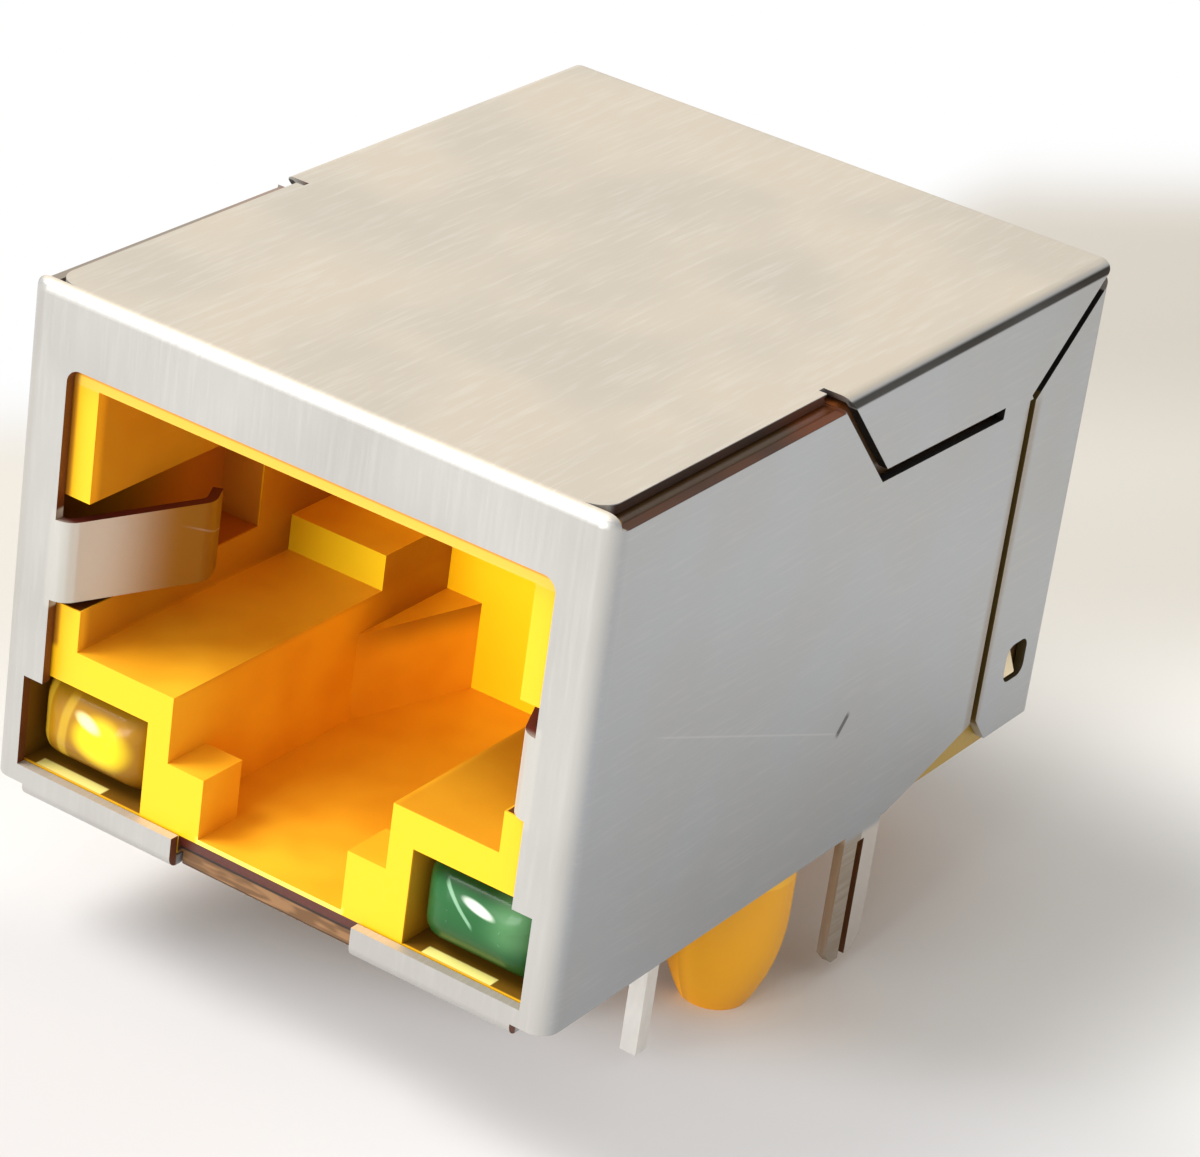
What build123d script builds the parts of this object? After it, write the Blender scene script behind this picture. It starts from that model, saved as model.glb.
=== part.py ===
from build123d import *
from math import radians, tan
import os

# A shielded board jack for an eight-way plug, with two indicator lamps, in millimetres.
# The origin lies on the board's surface, midway between the two locating pegs.
# X runs across the port, Y from the port to the back, and Z away from the board.

# Shield sheet
sheet = 0.25
fold_radius = 0.3
corner_radius = 0.5
shell_gap = 0.05

# Plug port, from the standard opening for this plug with its latch towards the board
port_width = 12.0
port_height = 6.6
port_depth = 10.6
channel_width = 6.26
channel_depth = 3.25
latch_gap = 4.14
catch_height = 1.55
catch_depth = 1.4
stop_depth = 7.8
stop_height = 0.95
taper_length = 3.6
taper_height = 2.35

# Housing walls
floor_wall = 0.6
side_wall = 1.7
roof = 0.85
end_wall = 1.5
bay_depth = 8.6
bay_width = 11.0
bevel_start = 0.13
bevel_height = 0.35
bevel_depth = 0.15
foot_length = 2.0
housing_round = 0.2

# Contacts, stamped from strip
contact_count = 8
contact_pitch = 1.02
contact_width = 0.46
contact_thick = 0.3
contact_slope = 25.0
contact_front = 2.0
contact_end_room = 1.2
contact_bend = 0.7
nose_bend = 0.5
groove_width = 0.64
groove_depth = 1.15
groove_front = 1.0
headroom = 0.25
strip_gap = 0.03
insert_gap = 0.1
insert_drop = 0.15

# Board side: pegs, legs and tails
peg_spacing = 12.7
peg_diameter = 3.05
peg_tip_diameter = 1.7
peg_length = 3.7
peg_taper = 2.5
peg_from_front = 10.2
near_row = 6.35
far_row = 8.89
tail_length = 3.3
leg_from_peg = 3.1
leg_width = 1.6
leg_length = 3.3
leg_slot = 0.3
leg_tip = 0.35
pad_size = 1.4
pad_inset = 1.1

# Indicator lamps
post_wall = 0.66
pocket_skin = 0.35
pocket_web = 0.9
pocket_floor = 0.5
lamp_gap = 0.1
lamp_rise = 0.12
lamp_length = 4.2
lamp_recess = 0.05
lamp_front_round = 1.0
lamp_edge_round = 0.5
lead_spacing = 2.29
lead_size = 0.45
lead_run = 1.65
lead_bend = 0.45
lead_slot = 0.35

# Shield outline
side_clear = 0.35
window_side_reveal = 0.7
window_top_reveal = 0.45
window_round = 0.35
lamp_window_inset = 0.1
lip_start = 2.6
lip_inset = 0.2
lip_length = 2.2
seam_width = 0.28
corner_round = 0.6
flap_start = 8.9
flap_lean = 2.4
flap_drop = 2.6
flap_rear_sag = 0.2
flap_corner_drop = 0.3
slit = 0.3
flap_bridge = 1.4
flange_length = 2.95
flange_chamfer = 0.65
seam_gap = 0.3
rear_clear = 0.6
slope_from_leg = 0.15
slope_length = 1.4
slope_rise = 0.35
slope_rear_rise = 1.0
finger_height = 2.05
finger_above_ledge = 1.2
finger_reach = 3.5
finger_inward = 1.0
finger_hook = 0.6
finger_bend = 0.4
finger_slot_gap = 0.15
finger_slot_rise = 0.55
finger_slot_depth = 6.5
finger_slot_skin = 0.5
hatch_length = 1.0
hatch_height = 1.05
hatch_round = 0.3
hatch_from_rear = 1.35
hatch_bottom = 1.95
bump_gap = 0.13
bump_length = 0.5

# Places worked out from the sizes above
front = -peg_from_front
housing_front = front + sheet + shell_gap
port_end = housing_front + port_depth
bay_start = port_end + end_wall
housing_rear = bay_start + bay_depth
rear = housing_rear + shell_gap + sheet
housing_bottom = sheet + shell_gap
port_floor = housing_bottom + floor_wall
ledge = port_floor + channel_depth
ceiling = ledge + port_height
groove_top = ceiling + groove_depth
housing_top = groove_top + roof
shell_top = housing_top + shell_gap + sheet
port_half = port_width / 2
channel_half = channel_width / 2
latch_half = latch_gap / 2
# Wide enough for the port's walls and, under the sheet, for the pegs
housing_half = max(port_half + side_wall, (peg_spacing + peg_diameter) / 2 - sheet)
inner_half = housing_half + shell_gap
shell_half = inner_half + sheet
shell_middle = (front + rear) / 2
housing_middle = (housing_front + housing_rear) / 2
leg_y = leg_from_peg
flange_start = rear - flange_length
hatch_y = rear - hatch_from_rear

# Housing: one moulding with the port, the lamp pockets, the contact grooves and the pegs
pocket_inner = channel_half + post_wall
pocket_outer = housing_half - pocket_skin
pocket_middle = (pocket_inner + pocket_outer) / 2
pocket_width = pocket_outer - pocket_inner
pocket_bottom = housing_bottom + pocket_floor
pocket_top = ledge - pocket_web
lamp_front = front + sheet + lamp_recess
lamp_rear = lamp_front + lamp_length
lead_y = lamp_rear + lead_run
pocket_rear = lead_y + lead_size / 2 + lead_slot
finger_bottom = ledge + finger_above_ledge
hole = Plane.XZ.offset(-housing_front)

with BuildPart() as housing:
    with BuildSketch(Plane.XY.offset(housing_bottom)):
        with Locations((0, housing_middle)):
            Rectangle(2 * housing_half, housing_rear - housing_front)
    extrude(amount=housing_top - housing_bottom)
    fillet(housing.edges() - housing.faces().sort_by(Axis.Z)[0].edges(), housing_round)
    # The stepped mouth of the port: the plug's body above, its latch between two catches below
    with BuildSketch(hole):
        with Locations((0, (ledge + ceiling) / 2)):
            Rectangle(port_width, port_height)
        with Locations((0, (port_floor + catch_height + ledge) / 2)):
            Rectangle(channel_width, ledge - port_floor - catch_height)
        with Locations((0, (port_floor + ledge) / 2)):
            Rectangle(latch_gap, channel_depth)
    extrude(amount=-catch_depth, mode=Mode.SUBTRACT)
    with BuildSketch(hole.offset(-catch_depth)):
        with Locations((0, (ledge + ceiling) / 2)):
            Rectangle(port_width, port_height)
        with Locations((0, (port_floor + ledge) / 2)):
            Rectangle(channel_width, channel_depth)
    extrude(amount=-(port_depth - catch_depth), mode=Mode.SUBTRACT)
    # Steps on both ledges that the plug's shoulders stop against
    with BuildSketch(hole.offset(-stop_depth)):
        for side in (-1, 1):
            with Locations((side * (channel_half + port_half) / 2, ledge + stop_height / 2)):
                Rectangle(port_half - channel_half, stop_height)
    extrude(amount=-(port_depth - stop_depth))
    # Wedges that narrow the foot of the latch channel towards its end wall
    with BuildSketch(Plane.XY.offset(port_floor)):
        for side in (-1, 1):
            with BuildLine():
                Polyline(
                    (side * channel_half, port_end - taper_length),
                    (side * latch_half, port_end),
                    (side * channel_half, port_end),
                    close=True,
                )
            make_face()
    extrude(amount=taper_height)
    # The bay at the back for the contact insert, open to the back and the board
    with BuildSketch(Plane.XY.offset(housing_bottom)):
        with Locations((0, (bay_start + housing_rear) / 2)):
            Rectangle(bay_width, bay_depth)
    extrude(amount=groove_top - housing_bottom, mode=Mode.SUBTRACT)
    # Grooves under the roof, one for each contact, from behind the mouth into the bay
    groove_start = housing_front + groove_front
    with BuildSketch(Plane.XY.offset(ceiling)):
        with Locations((0, (groove_start + bay_start) / 2)):
            with GridLocations(contact_pitch, 0, contact_count, 1):
                Rectangle(groove_width, bay_start - groove_start)
    extrude(amount=groove_depth, mode=Mode.SUBTRACT)
    # Lamp pockets, with a slot below for the leads
    with BuildSketch(hole):
        for side in (-1, 1):
            with Locations((side * pocket_middle, (pocket_bottom + pocket_top) / 2)):
                Rectangle(pocket_width, pocket_top - pocket_bottom)
    extrude(amount=-(pocket_rear - housing_front), mode=Mode.SUBTRACT)
    slot_length = lead_size + 2 * lead_slot
    with BuildSketch(Plane.XY.offset(housing_bottom)):
        for side in (-1, 1):
            with Locations((side * pocket_middle, lead_y)):
                Rectangle(pocket_width, slot_length)
    extrude(amount=pocket_floor, mode=Mode.SUBTRACT)
    # Recesses in both side walls that the shield's fingers spring into
    slot_rise = finger_height + finger_slot_gap + finger_slot_rise
    slot_outer = housing_half - finger_slot_skin
    with BuildSketch(hole):
        for side in (-1, 1):
            slot_middle = finger_bottom - finger_slot_gap + slot_rise / 2
            with Locations((side * (port_half + slot_outer) / 2, slot_middle)):
                Rectangle(slot_outer - port_half, slot_rise)
    extrude(amount=-finger_slot_depth, mode=Mode.SUBTRACT)
    # Between the shield's two lips: a bevel under the front edge, and a foot that stands on the board
    bevel_top = port_floor - bevel_start
    foot_front = housing_front + bevel_depth
    with BuildSketch(Plane.YZ):
        with BuildLine():
            Polyline(
                (housing_front, housing_bottom),
                (housing_front, bevel_top),
                (foot_front, bevel_top - bevel_height),
                (foot_front, housing_bottom),
                close=True,
            )
        make_face()
    extrude(amount=lip_start, both=True, mode=Mode.SUBTRACT)
    with BuildSketch(Plane.XY):
        with Locations((0, foot_front + foot_length / 2)):
            Rectangle(2 * (lip_start - shell_gap), foot_length)
    extrude(amount=housing_bottom)
    # Locating pegs with a rounded taper
    for side in (-1, 1):
        peg_x = side * peg_spacing / 2
        with BuildSketch(Plane.XZ):
            with BuildLine():
                peg_side = Line(
                    (peg_x + peg_diameter / 2, housing_bottom),
                    (peg_x + peg_diameter / 2, peg_taper - peg_length),
                )
                peg_curve = TangentArc(
                    peg_side @ 1,
                    (peg_x + peg_tip_diameter / 2, -peg_length),
                    tangent=peg_side % 1,
                )
                Polyline(peg_curve @ 1, (peg_x, -peg_length), (peg_x, housing_bottom), peg_side @ 0)
            make_face()
        revolve(axis=Axis((peg_x, 0, 0), (0, 0, 1)))
    # Standing pads at the back, as high as the shield's lips at the front
    with BuildSketch(Plane.XY):
        for side in (-1, 1):
            with Locations((side * (housing_half - pad_inset), housing_rear - pad_inset)):
                Rectangle(pad_size, pad_size)
    extrude(amount=housing_bottom)
    # Ramped bumps that catch in the shield's small side windows
    bump_bottom = hatch_bottom + bump_gap
    bump_top = hatch_bottom + hatch_height - bump_gap
    bump_y = hatch_y - hatch_length / 2 + bump_gap + bump_length / 2
    for side in (-1, 1):
        with BuildSketch(Plane.XZ.offset(-bump_y)):
            with BuildLine():
                Polyline(
                    (side * (housing_half - shell_gap), bump_bottom),
                    (side * (shell_half - shell_gap), bump_bottom),
                    (side * (shell_half - shell_gap), bump_bottom + shell_gap),
                    (side * (housing_half - shell_gap), bump_top),
                    close=True,
                )
            make_face()
        extrude(amount=bump_length / 2, both=True)
housing.part.label = "housing"

# Contact insert: the block that holds the contacts' upright legs in two rows
insert_top = groove_top - headroom - contact_thick / 2 - contact_bend - insert_drop
insert_front = bay_start + insert_gap
insert_rear = housing_rear - insert_gap
contact_places = []
for index in range(contact_count):
    contact_x = (index - (contact_count - 1) / 2) * contact_pitch
    row_y = near_row if index % 2 == 0 else far_row
    contact_places.append((contact_x, row_y))

with BuildPart() as contact_insert:
    with BuildSketch(Plane.XY.offset(housing_bottom)):
        with Locations((0, (insert_front + insert_rear) / 2)):
            Rectangle(bay_width - 2 * insert_gap, insert_rear - insert_front)
        with Locations(*contact_places):
            Rectangle(
                contact_width + 2 * strip_gap,
                contact_thick + 2 * strip_gap,
                mode=Mode.SUBTRACT,
            )
    extrude(amount=insert_top - housing_bottom)
contact_insert.part.label = "contact_insert"

# Contacts: tail, leg through the insert, run under the roof, nose and slanting spring
run_z = groove_top - headroom - contact_thick / 2
nose_y = housing_front + contact_front
nose_corner = nose_y + contact_thick / 2 + nose_bend - nose_bend / tan(radians(contact_slope / 2))
spring_end_y = port_end - contact_end_room
spring_end_z = run_z - (spring_end_y - nose_corner) * tan(radians(contact_slope))

contacts = []
for index, (contact_x, row_y) in enumerate(contact_places):
    with BuildPart() as contact:
        with BuildSketch(Plane.YZ.offset(contact_x)):
            with BuildLine():
                FilletPolyline(
                    (row_y, -tail_length),
                    (row_y, run_z),
                    (nose_corner, run_z),
                    (spring_end_y, spring_end_z),
                    radius=[contact_bend, nose_bend],
                )
            trace(line_width=contact_thick)
        extrude(amount=contact_width / 2, both=True)
    contact.part.label = "contact_" + str(index + 1)
    contacts.append(contact)

# Indicator lamps: clear blocks with a rounded front, and two bent leads each
lamp_width = pocket_width - 2 * lamp_gap
lamp_bottom = pocket_bottom + lamp_rise
lamp_height = pocket_top - lamp_bottom - lamp_gap
lead_z = lamp_bottom + lamp_height / 2

lamps = []
leads = []
for name, side in (("left", -1), ("right", 1)):
    lamp_x = side * pocket_middle
    with BuildPart() as lamp:
        with BuildSketch(Plane.XZ.offset(-lamp_front)):
            with Locations((lamp_x, lead_z)):
                RectangleRounded(lamp_width, lamp_height, lamp_edge_round)
        extrude(amount=-lamp_length)
        fillet(lamp.faces().sort_by(Axis.Y)[0].edges(), lamp_front_round)
    lamp.part.label = "led_" + name
    lamps.append(lamp)
    for place, step in (("inner", -1), ("outer", 1)):
        lead_x = lamp_x + side * step * lead_spacing / 2
        with BuildPart() as lead:
            with BuildSketch(Plane.YZ.offset(lead_x)):
                with BuildLine():
                    FilletPolyline(
                        (lamp_rear, lead_z),
                        (lead_y, lead_z),
                        (lead_y, -tail_length),
                        radius=lead_bend,
                    )
                trace(line_width=lead_size)
            extrude(amount=lead_size / 2, both=True)
        lead.part.label = "led_lead_" + name + "_" + place
        leads.append(lead)

# Shield: one sheet folded round the housing, with its port window, lips, flaps and legs
window_half = port_half + window_side_reveal
window_top = ceiling + window_top_reveal
lamp_window_half = pocket_outer - lamp_window_inset
lamp_window_top = pocket_top - lamp_window_inset
lip_end = lamp_window_half - lip_inset
fold_depth = corner_radius + sheet
fold_line = shell_half - fold_depth
seam_inner = inner_half - seam_width
seam_front = front + sheet
seam_rear = front + flap_start
flap_bottom = shell_top - flap_drop
flap_rear_bottom = flap_bottom - flap_rear_sag
flap_front = seam_rear + flap_lean
flap_rear = flange_start - seam_gap / 2
slit_y = flap_rear - flap_bridge
slit_z = flap_rear_bottom + flap_rear_sag * flap_bridge / (flap_rear - flap_front)
slope_start = leg_y + leg_width / 2 + slope_from_leg
slope_middle = slope_start + slope_length

with BuildPart() as shield_shell:
    # A filleted box, opened below and hollowed to the sheet's thickness
    with BuildSketch(Plane.XY.offset(side_clear)):
        with Locations((0, shell_middle)):
            Rectangle(2 * shell_half, rear - front)
    extrude(amount=shell_top - side_clear)
    fillet(shield_shell.edges().filter_by(Axis.Z).group_by(Axis.Y)[0], corner_radius)
    fillet(shield_shell.edges().filter_by(Axis.Z).group_by(Axis.Y)[-1], fold_radius)
    fillet(shield_shell.faces().sort_by(Axis.Z)[-1].edges(), fold_radius)
    offset(amount=-sheet, openings=shield_shell.faces().sort_by(Axis.Z)[0])
    # The window over the port, the two lamp windows and the gap between the lips
    with BuildSketch(Plane.XZ.offset(-front)):
        with Locations((0, (pocket_bottom + window_top) / 2)):
            Rectangle(2 * window_half, window_top - pocket_bottom)
        fillet(vertices().group_by(Axis.Y)[-1], window_round)
        with Locations((0, (pocket_bottom + lamp_window_top) / 2)):
            Rectangle(2 * lamp_window_half, lamp_window_top - pocket_bottom)
        with Locations((0, (side_clear + pocket_bottom) / 2)):
            Rectangle(2 * lip_start, pocket_bottom - side_clear)
    extrude(amount=-fold_depth, mode=Mode.SUBTRACT)
    # Lips that fold back under the housing below the lamps
    for side in (-1, 1):
        with BuildSketch(Plane.YZ.offset(side * (lip_start + lip_end) / 2)):
            with BuildLine():
                FilletPolyline(
                    (front + sheet / 2, pocket_bottom),
                    (front + sheet / 2, sheet / 2),
                    (front + lip_length, sheet / 2),
                    radius=fold_radius - sheet / 2,
                )
            trace(line_width=sheet)
        extrude(amount=(lip_end - lip_start) / 2, both=True)
    # Open seams beside the top sheet, which ends there in rounded corners; the side walls
    # stop below it, level with the housing's top
    with BuildSketch(Plane.XY.offset(shell_top)):
        for side in (-1, 1):
            with Locations((side * (seam_inner + shell_half) / 2, (seam_front + seam_rear) / 2)):
                Rectangle(shell_half - seam_inner, seam_rear - seam_front)
            with BuildLine():
                corner = RadiusArc(
                    (side * seam_inner, seam_front + corner_round),
                    (side * (seam_inner - corner_round), seam_front),
                    side * corner_round,
                )
                Polyline(corner @ 1, (side * seam_inner, seam_front), corner @ 0)
            make_face()
    extrude(amount=housing_top - shell_top, mode=Mode.SUBTRACT)
    # Slits round the side flaps, which stay joined to the walls by a bridge, and the back flanges' mitres
    for side in (-1, 1):
        with BuildSketch(Plane.YZ.offset(side * fold_line)):
            with BuildLine():
                Polyline((seam_rear, shell_top), (flap_front, flap_bottom), (slit_y, slit_z))
                Polyline((flap_rear, flap_rear_bottom), (rear, shell_top - flap_corner_drop))
            trace(line_width=slit)
        extrude(amount=side * 2 * fold_depth, mode=Mode.SUBTRACT)
    # Seams between side walls and back flanges, the rising lower edges, and small
    # windows in the flanges for the housing's bumps
    with BuildSketch(Plane.YZ):
        with Locations((flap_rear, flap_rear_bottom / 2)):
            Rectangle(seam_gap, flap_rear_bottom)
        with BuildLine():
            Polyline(
                (slope_start, 0),
                (slope_start, side_clear),
                (slope_middle, side_clear + slope_rise),
                (flange_start - seam_gap, side_clear + slope_rear_rise),
                (flange_start, side_clear + slope_rear_rise),
                (flange_start + flange_chamfer, rear_clear),
                (rear, rear_clear),
                (rear, 0),
                close=True,
            )
        make_face()
        with Locations((hatch_y, hatch_bottom + hatch_height / 2)):
            RectangleRounded(hatch_length, hatch_height, hatch_round)
    extrude(amount=2 * shell_half, both=True, mode=Mode.SUBTRACT)
    # Legs that pass through the board, slotted so that they spring in its holes
    for side in (-1, 1):
        with BuildSketch(Plane.YZ.offset(side * inner_half)):
            with BuildLine():
                Polyline(
                    (leg_y - leg_width / 2, side_clear),
                    (leg_y - leg_width / 2, leg_tip - leg_length),
                    (leg_y - leg_width / 2 + leg_tip, -leg_length),
                    (leg_y + leg_width / 2 - leg_tip, -leg_length),
                    (leg_y + leg_width / 2, leg_tip - leg_length),
                    (leg_y + leg_width / 2, side_clear),
                    close=True,
                )
            make_face()
            with Locations((leg_y, -leg_length / 2)):
                Rectangle(leg_slot, leg_length, mode=Mode.SUBTRACT)
        extrude(amount=side * sheet)
    # Fingers folded in from the window's sides, which grip the plug's own shield
    for side in (-1, 1):
        tip_x = side * (port_half - finger_inward)
        with BuildSketch(Plane.XY.offset(finger_bottom)):
            with BuildLine():
                FilletPolyline(
                    (side * (window_half + fold_radius), front + sheet / 2),
                    (side * (window_half - sheet), front + sheet / 2),
                    (tip_x, front + finger_reach),
                    (tip_x + side * finger_hook / 2, front + finger_reach + finger_hook),
                    radius=[finger_bend, finger_bend],
                )
            trace(line_width=sheet)
        extrude(amount=finger_height)
shield_shell.part.label = "shield_shell"

os.makedirs("parts", exist_ok=True)
export_step(shield_shell.part, "parts/shield_shell.step")
export_step(housing.part, "parts/housing.step")
export_step(contact_insert.part, "parts/contact_insert.step")
for contact in contacts:
    export_step(contact.part, "parts/" + contact.part.label + ".step")
for lamp in lamps:
    export_step(lamp.part, "parts/" + lamp.part.label + ".step")
for lead in leads:
    export_step(lead.part, "parts/" + lead.part.label + ".step")
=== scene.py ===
"""A shielded board jack with two indicator lamps, dressed for its picture.

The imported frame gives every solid. This script gives each one its finish, painted by masks on the
part's own axes, and sets the floor, the lights and the camera. It adds no piece to the part.
"""

from math import cos, radians, sin

import bpy
import numpy as np
from mathutils import Matrix, Vector

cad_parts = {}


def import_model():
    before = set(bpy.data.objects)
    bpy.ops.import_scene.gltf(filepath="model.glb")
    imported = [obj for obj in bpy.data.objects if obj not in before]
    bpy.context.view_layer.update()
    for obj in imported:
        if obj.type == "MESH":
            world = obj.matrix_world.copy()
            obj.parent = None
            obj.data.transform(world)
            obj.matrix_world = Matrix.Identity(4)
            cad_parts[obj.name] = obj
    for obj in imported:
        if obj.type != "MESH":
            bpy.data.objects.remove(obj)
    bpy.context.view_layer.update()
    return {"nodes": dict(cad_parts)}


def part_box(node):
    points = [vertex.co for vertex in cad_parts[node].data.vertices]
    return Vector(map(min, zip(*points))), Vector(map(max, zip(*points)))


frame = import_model()

MM = 0.001

# The Mix node's numbered sockets
VECTOR_A, VECTOR_B, VECTOR_OUT = 4, 5, 1
COLOUR_A, COLOUR_B, COLOUR_OUT = 6, 7, 2

# The picture's frame and its camera, on the part's own axes
picture_width = 1200
focal_pixels = 4498.6
sensor = 36.0
camera_place = Vector((50.543, -81.243, 53.59)) * MM
camera_azimuth = 31.08
camera_elevation = 26.82
camera_roll = -8.18

# The floor that the pegs' tips stand on
floor_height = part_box("housing")[0].z

# Where the lights point
jack_middle = Vector((0, 0, 5)) * MM

# Places on the shield that the finishes follow, in millimetres on the part's own axes
shell_low, shell_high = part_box("shield_shell")
sheet_front = shell_low.y / MM
sheet_rear = shell_high.y / MM
shell_top = shell_high.z / MM
sheet = 0.25
air = 0.05
wall_inner = shell_high.x / MM - sheet
wall_foot = 1.0
seam_rear = sheet_front + 8.9
flange_seam = 8.0
flange_middle = 5.5
flange_half = 4.4
flange_slant = 0.02
hatch_front = 9.3
hatch_top = 3.4
finger_outer = 6.9
finger_y = -7.5
finger_z = 6.4
leg_top = 0.3
leg_inner = 7.6
leg_y = 3.1
scratch_y = 1.12
scratch_z = 3.93
scratch_slope = 1.1
rub_y = -3.2
rub_z = 5.31
rub_slope = 0.375

# The same for the housing
housing_top = shell_top - sheet - air
housing_front = sheet_front + sheet + air
housing_side = 7.6
port_half = 6.0
latch_half = 2.07
stop_face = -2.5
ledge = 4.15
ceiling = 10.75
slot_middle = 6.575
slot_half = 1.39
slot_length = 6.7
pocket_inner = 3.79
pocket_floor = 0.75
pocket_top = 3.3
bar_y = -9.72
bar_right, bar_right_half = 5.25, 0.93
bar_left, bar_left_half = -6.0, 0.95
lips_inner = 2.62
bevel_top = 0.79
foot_top = 0.38
corner_top = 1.4
corner_front = 4.0

# Middles and half sizes of the lamps' painted lit spots and painted highlights, across and up, and where the
# amber lamp's posts stand
amber_core, amber_core_half = (-5.15, 2.05), (0.95, 0.75)
amber_highlight, amber_highlight_half = (-5.55, 2.45), (0.42, 0.17)
green_highlight, green_highlight_half = (5.62, 2.50), (0.48, 0.12)
amber_posts = (-6.25, -6.85)

# The pegs' side that the key light can't reach looks this way
turned_x, turned_y = -0.878, -0.478


class Value:
    """One output of a finish's nodes. Arithmetic on it adds a Math node."""

    def __init__(self, finish, socket):
        self.finish = finish
        self.socket = socket

    def math(self, operation, *others):
        return self.finish.node("ShaderNodeMath", {"operation": operation}, [self, *others])

    def __add__(self, other):
        return self.math("ADD", other)

    def __radd__(self, other):
        return self.math("ADD", other)

    def __sub__(self, other):
        return self.math("SUBTRACT", other)

    def __rsub__(self, other):
        return self.finish.node("ShaderNodeMath", {"operation": "SUBTRACT"}, [other, self])

    def __mul__(self, other):
        return self.math("MULTIPLY", other)

    def __rmul__(self, other):
        return self.math("MULTIPLY", other)

    def __truediv__(self, other):
        return self.math("DIVIDE", other)

    def absolute(self):
        return self.math("ABSOLUTE")

    def ramp(self, low, high, at_low, at_high):
        """at_low up to low and at_high from high on, with a smooth change between."""
        return self.finish.node(
            "ShaderNodeMapRange", {"interpolation_type": "SMOOTHSTEP"}, [self, low, high, at_low, at_high]
        )

    def above(self, level, soft):
        """0 up to level, rising smoothly to 1 over the soft stretch beyond it."""
        return self.ramp(level, level + soft, 0.0, 1.0)

    def below(self, level, soft):
        """0 from level on, rising smoothly to 1 over the soft stretch under it."""
        return self.ramp(level - soft, level, 1.0, 0.0)

    def band(self, middle, half, soft):
        """1 within half of middle, falling to 0 over soft on both sides."""
        return (self - middle).absolute().below(half + soft, soft)

    def faces(self):
        """For one part of the normal: 1 where the surface looks that way."""
        return self.above(0.6, 0.2)


class Finish:
    """A material in the making. Its place is where a point lies, in millimetres; surface() ends it."""

    def __init__(self, name):
        self.material = bpy.data.materials.new(name)
        self.material.use_nodes = True
        self.tree = self.material.node_tree
        self.tree.nodes.clear()
        metres = self.node("ShaderNodeTexCoord", output="Object")
        self.place = self.node(
            "ShaderNodeVectorMath", {"operation": "SCALE"}, {"Vector": metres, "Scale": 1 / MM}
        )

    def node(self, kind, settings=None, inputs=None, output=0):
        """One node: its settings first, then a number, a colour or a link for each socket."""
        made = self.tree.nodes.new(kind)
        for name, setting in (settings or {}).items():
            setattr(made, name, setting)
        given = inputs.items() if isinstance(inputs, dict) else enumerate(inputs or [])
        for key, value in given:
            if isinstance(value, Value):
                self.tree.links.new(value.socket, made.inputs[key])
            elif isinstance(value, tuple) and made.inputs[key].type == "RGBA":
                made.inputs[key].default_value = (*value, 1.0)
            else:
                made.inputs[key].default_value = value
        return Value(self, made.outputs[output])

    def parts(self, vector):
        """The three parts of a vector as values."""
        split = self.node("ShaderNodeSeparateXYZ", inputs=[vector]).socket.node
        return [Value(self, out) for out in split.outputs]

    def scaled(self, factors):
        """The place times one factor for each way; a small factor stretches a pattern that way."""
        return self.node("ShaderNodeVectorMath", {"operation": "MULTIPLY"}, [self.place, factors])

    def noise(self, vector, scale, detail, rough=0.5):
        """A noise pattern; scale is in waves per unit of the vector, detail in octaves."""
        return self.node(
            "ShaderNodeTexNoise",
            inputs={"Vector": vector, "Scale": scale, "Detail": detail, "Roughness": rough},
        )

    def mix(self, factor, low, high):
        """A colour between low and high."""
        sockets = {0: factor, COLOUR_A: low, COLOUR_B: high}
        return self.node("ShaderNodeMix", {"data_type": "RGBA"}, sockets, COLOUR_OUT)

    def bump(self, height, strength, depth_mm):
        """A normal that rises and falls with height."""
        return self.node(
            "ShaderNodeBump", inputs={"Height": height, "Strength": strength, "Distance": depth_mm * MM}
        )

    def surface(self, **inputs):
        """Ends the finish with a Principled shader; underscores in the names stand for spaces."""
        named = {name.replace("_", " "): value for name, value in inputs.items()}
        return self.end(self.node("ShaderNodeBsdfPrincipled", inputs=named))

    def end(self, shader):
        """Puts the shader on the output. What glows faintly needs no light samples of its own."""
        self.material.cycles.emission_sampling = "NONE"
        output = self.tree.nodes.new("ShaderNodeOutputMaterial")
        self.tree.links.new(shader.socket, output.inputs["Surface"])
        return self.material


def srgb(red, green, blue):
    """A colour as it looks on a screen, from 0 to 1, made linear."""
    def linear(c):
        return c / 12.92 if c <= 0.04045 else ((c + 0.055) / 1.055) ** 2.4
    return (linear(red), linear(green), linear(blue))


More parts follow.
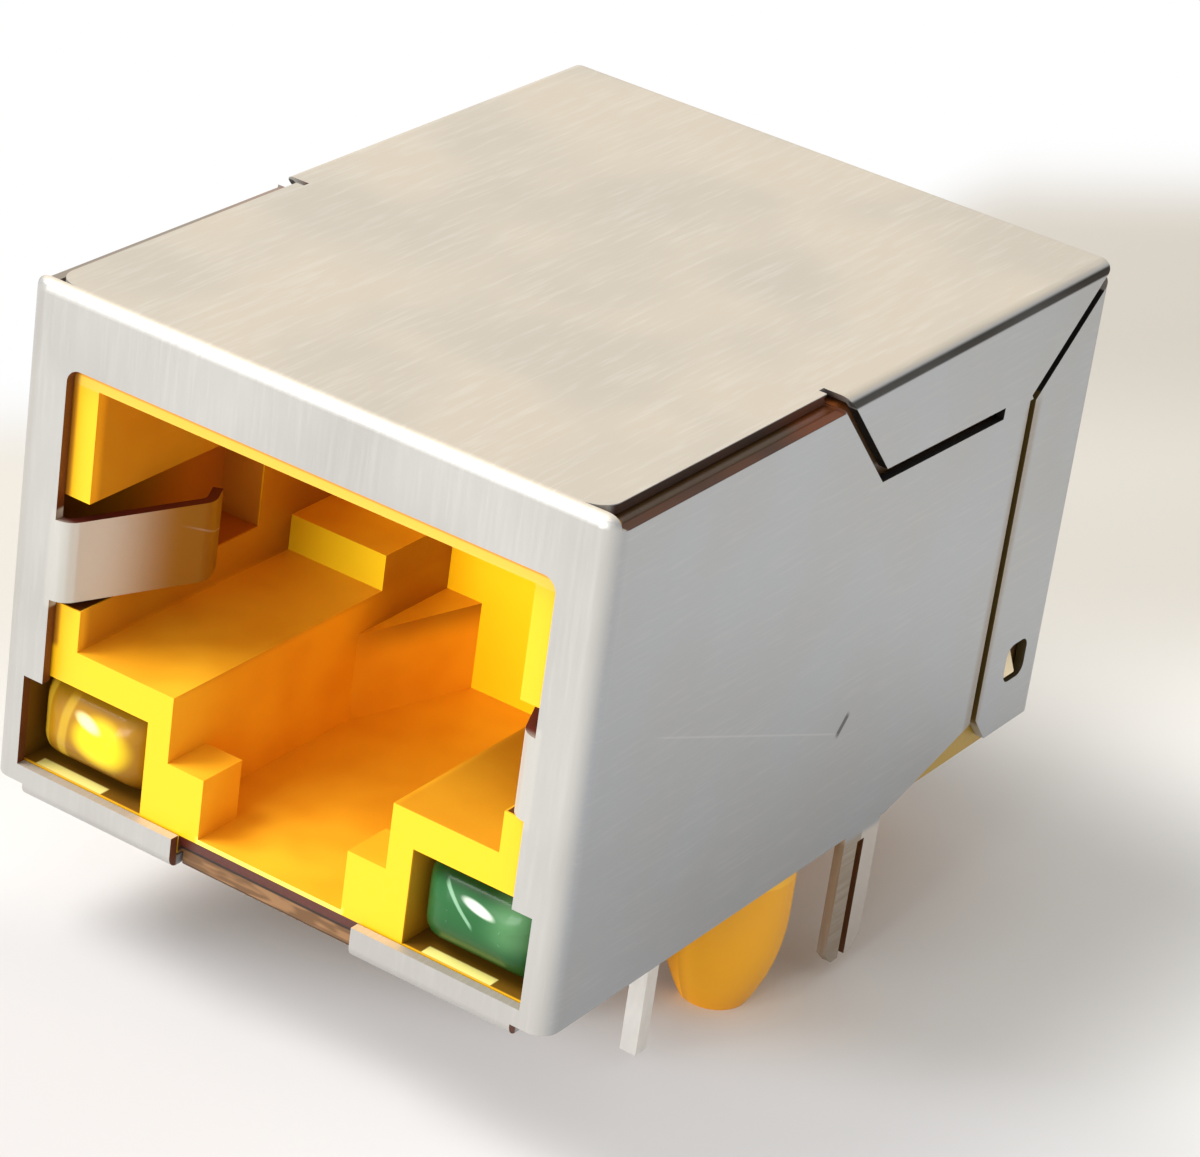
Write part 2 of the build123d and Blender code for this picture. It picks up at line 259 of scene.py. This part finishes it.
def nickel_sheet():
    """Satin nickel on folded sheet: painted light makes it warm above and greyer on the walls; grained, with
    painted shade in its folds and seams.
    """
    m = Finish("satin_nickel")
    nx, ny, nz = m.parts(m.node("ShaderNodeTexCoord", output="Normal"))
    x, y, z = m.parts(m.place)
    side = x.absolute()
    on_sides = nx.absolute().faces()
    on_ends = ny.absolute().faces()
    on_right = nx.above(0.8, 0.1)
    # The grain runs level on the top and the walls, and upright on the ends
    fine, drawn = 9.0, 0.5
    stretch = {0: on_ends, VECTOR_A: (fine, drawn, fine), VECTOR_B: (fine, fine, drawn)}
    along = m.node("ShaderNodeMix", {"data_type": "VECTOR"}, stretch, VECTOR_OUT)
    grain = m.noise(m.scaled(along), 1.0, 2.0, 0.7)
    cloud = m.noise(m.place, 0.25, 1.0)
    # Painted light and shade: the top warm and pale, the ends paler and the side walls greyer, by which way
    # each face looks
    up = nz.above(0.5, 0.45)
    ends = ny.below(-0.3, 0.6)
    shaded_walls = m.mix(ends, srgb(0.665, 0.675, 0.69), srgb(0.78, 0.775, 0.76))
    facing_light = m.mix(up, shaded_walls, srgb(0.785, 0.745, 0.68))
    clouded = m.mix(cloud.above(0.35, 0.35) * 0.3, facing_light, srgb(0.66, 0.65, 0.63))
    colour = m.mix(grain.above(0.45, 0.3) * (0.10 + up * 0.1), clouded, srgb(0.88, 0.87, 0.85))
    # Painted shade in the slits of the walls: their cut edges near black, and olive or grey round the flange
    between_folds = y.above(sheet_front + 0.6, 0.1) * y.below(sheet_rear - 0.3, 0.05)
    slit_shade = side.above(wall_inner - 0.03, 0.03) * (1 - nx.absolute().above(0.3, 0.2))
    slit_shade = slit_shade * between_folds * z.above(wall_foot, 0.3)
    slit_shade = slit_shade * z.below(shell_top - 0.35, 0.05)
    at_flange = y.above(flange_seam - 0.5, 0.2) * y.below(flange_seam + 0.4, 0.1)
    olive = at_flange * z.below(flange_middle + 4.9, 0.1)
    hatch = y.above(hatch_front, 0.2) * z.below(hatch_top, 0.2)
    olive = olive * (1 - hatch) + hatch * 0.55
    colour = m.mix(slit_shade, colour, m.mix(olive, srgb(0.07, 0.05, 0.04), srgb(0.34, 0.27, 0.10)))
    # Painted shade and painted reflection of the amber plastic: brown on the edges of the front frame's
    # windows
    behind = side.below(wall_inner + 0.02, 0.02)
    window_edge_shade = y.below(sheet_front + 0.3, 0.06) * behind * on_sides
    colour = m.mix(window_edge_shade, colour, srgb(0.40, 0.20, 0.07))
    # Painted shade in the seam under the top sheet, redder near its rear end and darker on the right
    seam_shade = z.band(housing_top + 0.13, 0.14, 0.02) * side.above(wall_inner - 0.4, 0.1)
    seam_shade = seam_shade * (1 - nz.above(0.4, 0.3) * z.above(housing_top + 0.05, 0.05))
    seam_shade = seam_shade * y.below(seam_rear + 0.1, 0.1) * y.above(sheet_front + 0.3, 0.1)
    seam_shade = seam_shade * (0.6 + x.above(-1.0, 2.0) * 0.4)
    redder_shade = y.band(seam_rear - 0.4, 0.5, 2.2) * 0.8 + cloud.above(0.45, 0.2) * 0.3
    colour = m.mix(seam_shade, colour, m.mix(redder_shade, srgb(0.19, 0.11, 0.05), srgb(0.37, 0.18, 0.06)))
    # The fold beside the top sheet's rear half: painted brown shade in the bend
    fold_shade = z.band(shell_top - 0.24, 0.07, 0.07) * side.above(wall_inner, 0.1)
    fold_shade = fold_shade * y.above(seam_rear, 0.3)
    colour = m.mix(fold_shade * (0.8 + cloud * 0.3), colour, srgb(0.13, 0.10, 0.05))
    # Painted shade: a soft brown halo on the sheet beside the flange's seam
    from_seam = y - flange_seam - (z - flange_middle) * flange_slant
    flange_seam_shade = from_seam.band(0.0, 0.22, 0.25) * z.band(flange_middle, flange_half, 0.5) * nx.above(0.7, 0.2)
    colour = m.mix(flange_seam_shade * (0.25 + grain * 0.35), colour, srgb(0.50, 0.40, 0.22))
    # Painted reflection of the amber port on the fingers' springs, stronger towards their tips; the springs
    # end in red-brown edges
    on_finger = side.below(finger_outer, 0.1) * y.band(finger_y, 2.4, 0.5)
    on_finger = on_finger * z.band(finger_z, 1.2, 0.1)
    deep = y.above(sheet_front + 0.8, 2.0)
    colour = m.mix(on_finger, colour, m.mix(deep, srgb(0.78, 0.77, 0.73), srgb(0.58, 0.42, 0.12)))
    colour = m.mix(on_finger * nz.absolute().faces(), colour, srgb(0.35, 0.11, 0.04))
    # The legs: painted shade on the front prong and in the slot between the prongs
    leg = z.below(leg_top, 0.2) * side.above(leg_inner, 0.1)
    shaded = y.below(leg_y + 0.02, 0.04) * (0.45 + grain * 0.4)
    colour = m.mix(leg, colour, m.mix(shaded, srgb(0.80, 0.77, 0.74), srgb(0.50, 0.42, 0.30)))
    slot = leg * on_ends * y.band(leg_y, 0.17, 0.03)
    colour = m.mix(slot, colour, srgb(0.42, 0.27, 0.15))
    # One short scratch on the right wall, and a faint rub in front of it
    across = (z - scratch_z) - (y - scratch_y) * scratch_slope
    scratch = across.band(0.0, 0.08, 0.08) * (y + z).band(scratch_y + scratch_z, 0.30, 0.25) * on_right
    colour = m.mix(scratch * 0.85, colour, srgb(0.30, 0.29, 0.29))
    rub = ((z - rub_z) + (y - rub_y) * rub_slope).band(0.0, 0.015, 0.02) * y.band(rub_y, 3.6, 0.8) * on_right
    colour = m.mix(rub * 0.3, colour, srgb(0.80, 0.80, 0.80))
    dull = on_finger * 0.6 + slit_shade * 0.8 + window_edge_shade * 0.6 + seam_shade * 0.8 + leg * 0.4 + fold_shade * 0.7
    return m.surface(
        Base_Color=colour,
        Metallic=0.82 - up * 0.3 - dull,
        Roughness=0.38 + grain * 0.14 + seam_shade * 0.3 + fold_shade * 0.3 + up * 0.12,
        Normal=m.bump(grain - scratch, 0.22, 0.02),
    )


def amber_plastic():
    """Moulded amber plastic with painted light and shade: yellow where it faces the mouth, orange on flats,
    brown in its recesses.
    """
    m = Finish("amber_plastic")
    nx, ny, nz = m.parts(m.node("ShaderNodeTexCoord", output="Normal"))
    x, y, z = m.parts(m.place)
    side = x.absolute()
    on_sides = nx.absolute().faces()
    on_flats = nz.faces()
    cloud = m.noise(m.place, 0.6, 1.0)
    skin = m.noise(m.place, 12.0, 0.0)
    painted_lit_yellow = srgb(1.0, 0.76, 0.02)
    orange = m.mix(cloud.above(0.3, 0.45), srgb(1.0, 0.75, 0.16), srgb(0.96, 0.68, 0.12))
    # Painted light: faces that look towards the mouth are yellow
    facing = ny.below(-0.5, 0.4)
    at_mouth = y.below(housing_front + 0.4, 0.3)
    front_face = at_mouth * facing
    colour = m.mix(facing, orange, painted_lit_yellow)
    # The end of the port and the stops' faces catch the light from the mouth
    deep_face = facing * y.above(stop_face - 0.5, 0.5) * side.below(port_half + 0.05, 0.05)
    colour = m.mix(deep_face, colour, srgb(1.0, 0.86, 0.05))
    # Painted shade: behind the stops the port's side walls darken to brown
    deep_wall_shade = y.above(stop_face - 1.5, 2.6) * on_sides * side.below(port_half + 0.1, 0.1)
    colour = m.mix(deep_wall_shade * z.above(2.4, 1.0) * 0.75, colour, srgb(0.50, 0.25, 0.05))
    # Painted shade on the right ledge, browner than the left one
    ledge_right = x.above(3.0, 0.3) * on_flats * z.band(ledge, 0.3, 0.1) * y.below(-2.0, 2.0)
    colour = m.mix(ledge_right * 0.6, colour, srgb(0.72, 0.46, 0.06))
    # Painted shade on the inner walls of the port above the ledges
    wall = on_sides * side.below(port_half + 0.3, 0.1) * (1 - at_mouth)
    colour = m.mix(wall * z.above(ledge - 0.15, 0.3) * 0.55, colour, srgb(0.62, 0.36, 0.06))
    # Painted shade in the fingers' recesses, dark brown in front and paler towards their rear ends
    recess = side.above(port_half + 0.02, 0.04) * z.band(slot_middle, slot_half, 0.02)
    recess = recess * y.above(housing_front + 0.02, 0.04)
    recess = recess * y.below(housing_front + slot_length, 0.1)
    colour = m.mix(recess, colour, m.mix(y.above(-8.0, 4.3), srgb(0.34, 0.17, 0.04), srgb(0.80, 0.50, 0.09)))
    # The strip above the port: a painted orange shadow of the sheet's edge over a pale painted lit line
    strip = front_face * z.above(ceiling - 0.04, 0.04)
    colour = m.mix(strip, colour, srgb(0.98, 0.78, 0.26))
    colour = m.mix(strip * z.above(ceiling + 0.2, 0.06), colour, srgb(0.90, 0.58, 0.06))
    # Painted shade of the sheet's edge down the left of the front face, and a painted highlight along the
    # floor's edge
    shade = front_face * x.below(-6.5, 0.16) * z.above(ledge - 0.15, 0.2)
    colour = m.mix(shade * 0.85, colour, srgb(0.62, 0.34, 0.05))
    edge_highlight = front_face * side.below(latch_half + 0.1, 0.1) * z.below(1.0, 0.1)
    colour = m.mix(edge_highlight * 0.8, colour, srgb(1.0, 0.95, 0.40))
    # Between the shield's lips, painted shade and painted reflected light: a red-brown bevel above a tan
    # foot, with dark lines under both
    between_lips = y.below(housing_front + 0.6, 0.1) * side.below(lips_inner, 0.02)
    between_lips = between_lips * z.below(bevel_top, 0.02)
    foot_streaks = m.noise(m.scaled((1.2, 1.2, 6.0)), 1.0, 1.0, 0.6)
    foot = m.mix(foot_streaks.above(0.4, 0.2), srgb(0.42, 0.29, 0.16), srgb(0.56, 0.41, 0.26))
    colour = m.mix(between_lips, colour, foot)
    colour = m.mix(between_lips * z.above(foot_top, 0.06), colour, srgb(0.34, 0.11, 0.03))
    lines = z.band(foot_top + 0.04, 0.02, 0.04) + z.below(0.05, 0.03)
    colour = m.mix(between_lips * lines, colour, srgb(0.16, 0.09, 0.05))
    # Lamp pockets: olive shade round the lamps, with a lit bar on each floor
    pocket = side.above(pocket_inner - 0.02, 0.04) * side.below(housing_side, 0.1)
    pocket = pocket * z.below(pocket_top, 0.1) * z.above(pocket_floor, 0.04)
    pocket = pocket * y.above(housing_front + 0.02, 0.06)
    colour = m.mix(pocket * 0.85, colour, srgb(0.26, 0.15, 0.03))
    bars = x.band(bar_right, bar_right_half, 0.04) + x.band(bar_left, bar_left_half, 0.06)
    colour = m.mix(pocket * on_flats * y.band(bar_y, 0.17, 0.06) * bars, colour, srgb(1.0, 0.95, 0.55))
    # Painted shade on hidden faces under the sheet, which show only through its seams
    under_top = z.above(housing_top - 0.15, 0.1)
    under_wall = side.above(housing_side, 0.06) * z.above(1.6, 0.4)
    under = (under_top + under_wall).above(0.0, 1.0) * y.above(housing_front + 0.3, 0.1)
    redder_shade = y.band(seam_rear - 0.4, 0.5, 1.2)
    hidden_shade = m.mix(redder_shade, srgb(0.20, 0.12, 0.07), srgb(0.42, 0.17, 0.07))
    colour = m.mix(under * 0.95, colour, hidden_shade)
    colour = m.mix(under * y.band(flange_seam, 0.25, 0.15), colour, srgb(0.55, 0.44, 0.16))
    # The bumps in the shield's small side windows
    bump = side.above(wall_inner - 0.04, 0.03) * y.above(hatch_front - 0.5, 0.2)
    colour = m.mix(bump, colour, srgb(1.0, 0.92, 0.76))
    # The pegs: amber, with the side turned from the light browner
    peg = z.below(0.02, 0.07)
    turned = (nx * turned_x + ny * turned_y).above(0.45, 0.5)
    colour = m.mix(peg, colour, srgb(0.97, 0.68, 0.07))
    colour = m.mix(peg * turned, colour, srgb(0.66, 0.38, 0.06))
    # The underside, duller than the rest
    colour = m.mix(nz.below(-0.6, 0.2) * z.below(0.5, 0.1), colour, srgb(0.52, 0.42, 0.28))
    # The rear lower corners, olive
    corner = z.below(corner_top, 0.4) * y.above(corner_front, 1.0)
    corner = corner * side.above(housing_side - 0.1, 0.1)
    colour = m.mix(corner * 0.9, colour, srgb(0.66, 0.54, 0.18))
    # Painted glow: the port's end emits a faint amber light where light would gather in the plastic
    painted_end_glow = deep_face * y.above(stop_face + 0.9, 0.8)
    return m.surface(
        Base_Color=colour,
        Roughness=0.36 + skin * 0.12,
        IOR=1.5,
        Emission_Color=m.mix(painted_end_glow, (0.0, 0.0, 0.0), srgb(0.62, 0.42, 0.0)),
        Emission_Strength=1.0,
        Normal=m.bump(skin, 0.15, 0.01),
    )


def lens_surface(m, colour, cloud):
    """The clear gloss that both lamps share."""
    return m.surface(Base_Color=colour, Roughness=0.30 + cloud * 0.10, IOR=1.33,
                     Coat_Weight=0.12, Coat_Roughness=0.10)


def spot(x, z, middle, half, slant=0.0):
    """A slanting ellipse: 0 in its middle and 1 on its edge."""
    across = (x - middle[0]) / half[0]
    upward = (z - middle[1] + (x - middle[0]) * slant) / half[1]
    return across * across + upward * upward


def amber_lens():
    """A clear amber lens: olive at its rim, browner low down, with posts at one side, a painted lit core and
    a painted highlight.
    """
    m = Finish("amber_lens")
    x, _, z = m.parts(m.place)
    cloud = m.noise(m.place, 1.4, 2.0)
    colour = m.mix(z.above(0.9, 1.1), srgb(0.40, 0.24, 0.02), srgb(0.66, 0.47, 0.05))
    colour = m.mix(z.above(2.6, 0.5) * 0.8, colour, srgb(0.46, 0.36, 0.04))
    leaning = x - (z - 1.9) * 0.12
    posts = leaning.band(amber_posts[0], 0.07, 0.10) * z.band(2.0, 0.7, 0.3)
    posts = posts + x.band(amber_posts[1], 0.08, 0.08) * z.band(2.1, 0.8, 0.3)
    colour = m.mix(posts * 0.5, colour, srgb(0.86, 0.72, 0.20))
    # Painted light: a lit core and a white highlight
    core = spot(x, z, amber_core, amber_core_half)
    colour = m.mix(core.below(1.0, 0.9), colour, srgb(1.0, 0.86, 0.10))
    highlight = spot(x, z, amber_highlight, amber_highlight_half, 0.25)
    colour = m.mix(highlight.below(1.3, 1.3) * 0.9, colour, srgb(1.0, 0.98, 0.70))
    return lens_surface(m, colour, cloud)


def green_lens():
    """A clear green lens: darker at its rim, paler towards the wall, with a painted highlight line and one
    bright painted highlight.
    """
    m = Finish("green_lens")
    x, _, z = m.parts(m.place)
    cloud = m.noise(m.place, 1.4, 2.0)
    colour = m.mix(z.above(0.9, 1.3), srgb(0.07, 0.26, 0.05), srgb(0.14, 0.37, 0.19))
    colour = m.mix(z.above(2.6, 0.4) * 0.9, colour, srgb(0.09, 0.22, 0.04))
    colour = m.mix(x.below(4.4, 0.5) * 0.6, colour, srgb(0.28, 0.40, 0.10))
    pale = x.above(5.6, 1.0) * z.band(2.45, 0.3, 0.6)
    colour = m.mix(pale * 0.7, colour, srgb(0.36, 0.56, 0.36))
    # Painted highlights: a thin line and one bright spot
    highlight_line = (z - 2.72 + (x - 4.7) * 0.85).band(0.0, 0.03, 0.05) * x.band(5.1, 0.35, 0.15)
    colour = m.mix(highlight_line * 0.6, colour, srgb(0.62, 0.80, 0.66))
    highlight = spot(x, z, green_highlight, green_highlight_half, 0.18)
    colour = m.mix(highlight.below(1.3, 1.3) * 0.9, colour, srgb(0.95, 1.0, 0.93))
    return lens_surface(m, colour, cloud)


def gold_strip():
    """Gold flash on phosphor bronze."""
    m = Finish("gold_flash")
    grain = m.noise(m.scaled((20.0, 1.0, 1.0)), 1.0, 3.0)
    colour = m.mix(grain, srgb(0.93, 0.74, 0.38), srgb(0.80, 0.60, 0.26))
    return m.surface(Base_Color=colour, Metallic=1.0, Roughness=0.22 + grain * 0.12)


def tinned_wire():
    """Bright tin on a lead frame, with a slightly uneven dip."""
    m = Finish("bright_tin")
    flow = m.noise(m.scaled((4.0, 4.0, 1.2)), 1.0, 3.0)
    colour = m.mix(flow, srgb(0.98, 0.97, 0.95), srgb(0.88, 0.87, 0.85))
    return m.surface(Base_Color=colour, Metallic=0.5, Roughness=0.25 + flow * 0.16,
                     Normal=m.bump(flow, 0.2, 0.03))


def insert_plastic():
    """The contact insert's plainer, duller moulding."""
    m = Finish("insert_plastic")
    cloud = m.noise(m.place, 0.8, 3.0)
    skin = m.noise(m.place, 10.0, 2.0)
    colour = m.mix(cloud.above(0.3, 0.4), srgb(0.92, 0.64, 0.10), srgb(0.82, 0.54, 0.07))
    return m.surface(Base_Color=colour, Roughness=0.5 + skin * 0.12, Normal=m.bump(skin, 0.2, 0.01))


def give(node, material):
    """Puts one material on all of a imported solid."""
    piece = frame["nodes"][node]
    piece.data.materials.clear()
    piece.data.materials.append(material)


give("shield_shell", nickel_sheet())
give("housing", amber_plastic())
give("contact_insert", insert_plastic())
gold = gold_strip()
tin = tinned_wire()
for name in frame["nodes"]:
    if name.startswith("contact_") and name != "contact_insert":
        give(name, gold)
    if name.startswith("led_lead"):
        give(name, tin)
give("led_left", amber_lens())
give("led_right", green_lens())


def sweep():
    """A floor that rises behind into a backdrop: flat, then a quarter turn of large radius, then upright."""
    radius = 0.12
    near, far, side, height = -0.6, 0.35, 0.9, 0.9
    rows_in_turn = 24
    turn = np.linspace(0, np.pi / 2, rows_in_turn)
    ys = np.concatenate([[near], far + radius * np.sin(turn), [far + radius]])
    zs = np.concatenate([[0.0], radius * (1 - np.cos(turn)), [height]]) + floor_height
    xs = np.array([-side, side])
    grid_y, grid_x = np.meshgrid(ys, xs, indexing="ij")
    grid_z = np.repeat(zs[:, None], 2, axis=1)
    points = np.stack([grid_x, grid_y, grid_z], axis=-1).reshape(-1, 3)
    row = np.arange(len(ys) - 1) * 2
    faces = np.stack([row, row + 1, row + 3, row + 2], axis=1)
    mesh = bpy.data.meshes.new("sweep")
    mesh.from_pydata(points.tolist(), [], faces.tolist())
    for polygon in mesh.polygons:
        polygon.use_smooth = True
    floor = bpy.data.objects.new("sweep", mesh)
    bpy.context.scene.collection.objects.link(floor)
    m = Finish("pale_floor")
    x, y, _ = m.parts(m.place)
    cloud = m.noise(m.place, 0.03, 1.0)
    # Three ways over the floor: from left to right, away from the camera, and out to the right
    across = (x * 0.7 + y * 0.3).above(-8.0, 16.0)
    beyond = y - 1.2 * x
    rightward = x + 0.55 * y
    # Painted light and shade on the floor: paler towards the right, darker away from the camera
    colour = m.mix(across, srgb(0.86, 0.855, 0.855), srgb(0.94, 0.94, 0.935))
    colour = m.mix(beyond.above(0.0, 26.0), colour, srgb(0.775, 0.76, 0.73))
    colour = m.mix(beyond.above(34.0, 18.0), colour, srgb(0.715, 0.695, 0.66))
    colour = m.mix(cloud * 0.2, colour, srgb(0.88, 0.87, 0.86))
    matt = m.node("ShaderNodeBsdfDiffuse", inputs={"Color": colour})
    # The camera and mirrored views see the floor grow lighter than its own shade, as in the picture
    glow = m.node("ShaderNodeEmission", inputs={"Color": (1.0, 1.0, 1.0), "Strength": 1.0})
    shadow_lift = m.node("ShaderNodeEmission", inputs={"Color": srgb(0.90, 0.89, 0.89), "Strength": 1.0})
    light_path = m.node("ShaderNodeLightPath").socket.node
    seen = Value(m, light_path.outputs["Is Camera Ray"]) + Value(m, light_path.outputs["Is Glossy Ray"])
    seen = (seen + Value(m, light_path.outputs["Is Transmission Ray"])).above(0.0, 1.0)
    away = beyond.above(60.0, 20.0) + beyond.above(33.0, 15.0) * rightward.below(14.0, 10.0)
    # Painted light: in front of the jack a paler emission thins the floor's shadow
    near = (y - 0.5 * x).below(-3.0, 5.0) * 0.5
    shader = m.node("ShaderNodeMixShader", inputs=[seen * near, matt, shadow_lift])
    shader = m.node("ShaderNodeMixShader", inputs=[seen * away.above(0.0, 1.0), shader, glow])
    floor.data.materials.append(m.end(shader))


def soft_light(name, place, width, height, power, colour):
    """An area light in millimetres that points at the jack's middle."""
    data = bpy.data.lights.new(name, "AREA")
    data.shape = "RECTANGLE"
    data.size = width * MM
    data.size_y = height * MM
    data.energy = power
    data.color = colour
    light = bpy.data.objects.new(name, data)
    light.location = Vector(place) * MM
    light.rotation_euler = (jack_middle - light.location).to_track_quat("-Z", "Y").to_euler()
    bpy.context.scene.collection.objects.link(light)


def world():
    """Even light from all round."""
    made = bpy.data.worlds.new("room")
    made.use_nodes = True
    background = made.node_tree.nodes["Background"]
    background.inputs["Color"].default_value = (1.0, 0.99, 0.975, 1.0)
    background.inputs["Strength"].default_value = 0.55
    bpy.context.scene.world = made


def camera():
    """The picture's own camera: where it stands, which way it looks, and how far it is rolled."""
    azimuth, elevation, roll = (radians(a) for a in (camera_azimuth, camera_elevation, camera_roll))
    ahead = Vector((-sin(azimuth) * cos(elevation), cos(azimuth) * cos(elevation), -sin(elevation)))
    level = ahead.cross(Vector((0, 0, 1))).normalized()
    above = level.cross(ahead)
    right = level * cos(roll) - above * sin(roll)
    up = right.cross(ahead)
    turn = Matrix((right, up, -ahead)).transposed()
    data = bpy.data.cameras.new("camera")
    data.sensor_width = sensor
    data.lens = focal_pixels / picture_width * sensor
    data.clip_start = 0.001
    data.clip_end = 10.0
    made = bpy.data.objects.new("camera", data)
    made.matrix_world = Matrix.Translation(camera_place) @ turn.to_4x4()
    bpy.context.scene.collection.objects.link(made)
    bpy.context.scene.camera = made


sweep()
world()
soft_light("key", (-340, -240, 600), 340, 340, 5.6, (1.0, 0.985, 0.96))
soft_light("front", (-100, -660, 150), 420, 260, 2.9, (1.0, 1.0, 1.0))
camera()
bpy.context.scene.view_settings.view_transform = "Standard"
